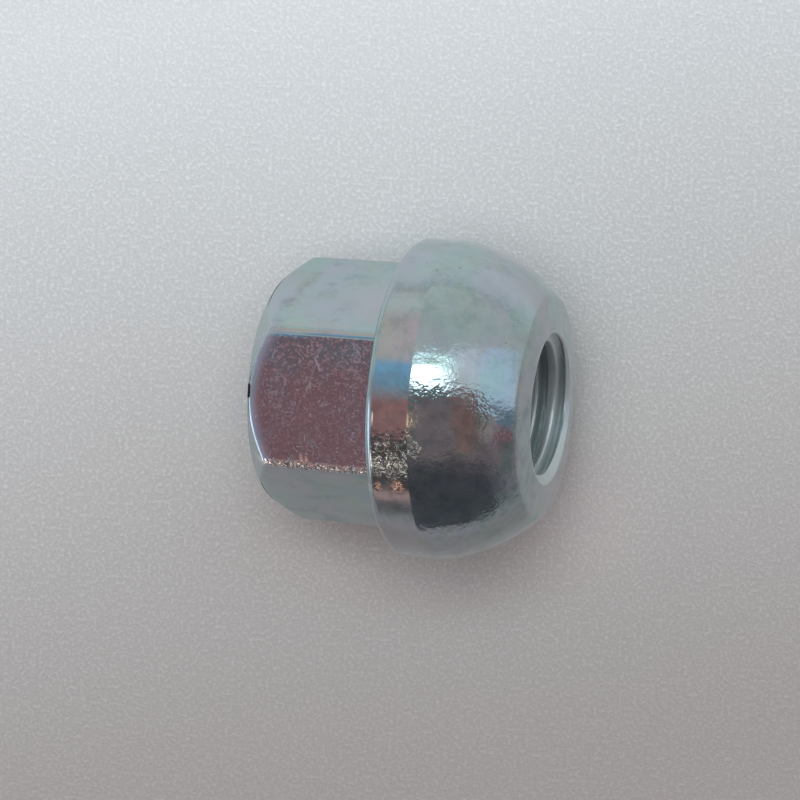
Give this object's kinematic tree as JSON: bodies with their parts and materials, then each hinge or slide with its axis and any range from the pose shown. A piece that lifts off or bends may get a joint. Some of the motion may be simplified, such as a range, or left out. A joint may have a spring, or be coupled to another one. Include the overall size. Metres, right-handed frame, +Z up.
{
  "type": "lug nut",
  "caption": "Open-ended lug nut with a chamfered hexagon, a round collar, a ball seat and a through thread, in zinc-plated steel, lying on its side.",
  "frame": {"origin": "on the surface that the nut lies on, under the middle of its box", "axes": "+Z up; the nut lies on one hexagon flat's tip and the collar's rim, so its axis runs along +X towards the ball seat and rises 16.9 degrees; Y is across the nut"},
  "size_m": [0.0262, 0.0256, 0.0256],
  "materials": {
    "zinc_plate": "bright zinc plate with a thin bluish passivate, lightly scratched and pitted"
  },
  "bodies": {
    "root": {"lug_nut": "zinc_plate"}
  },
  "joints": []
}
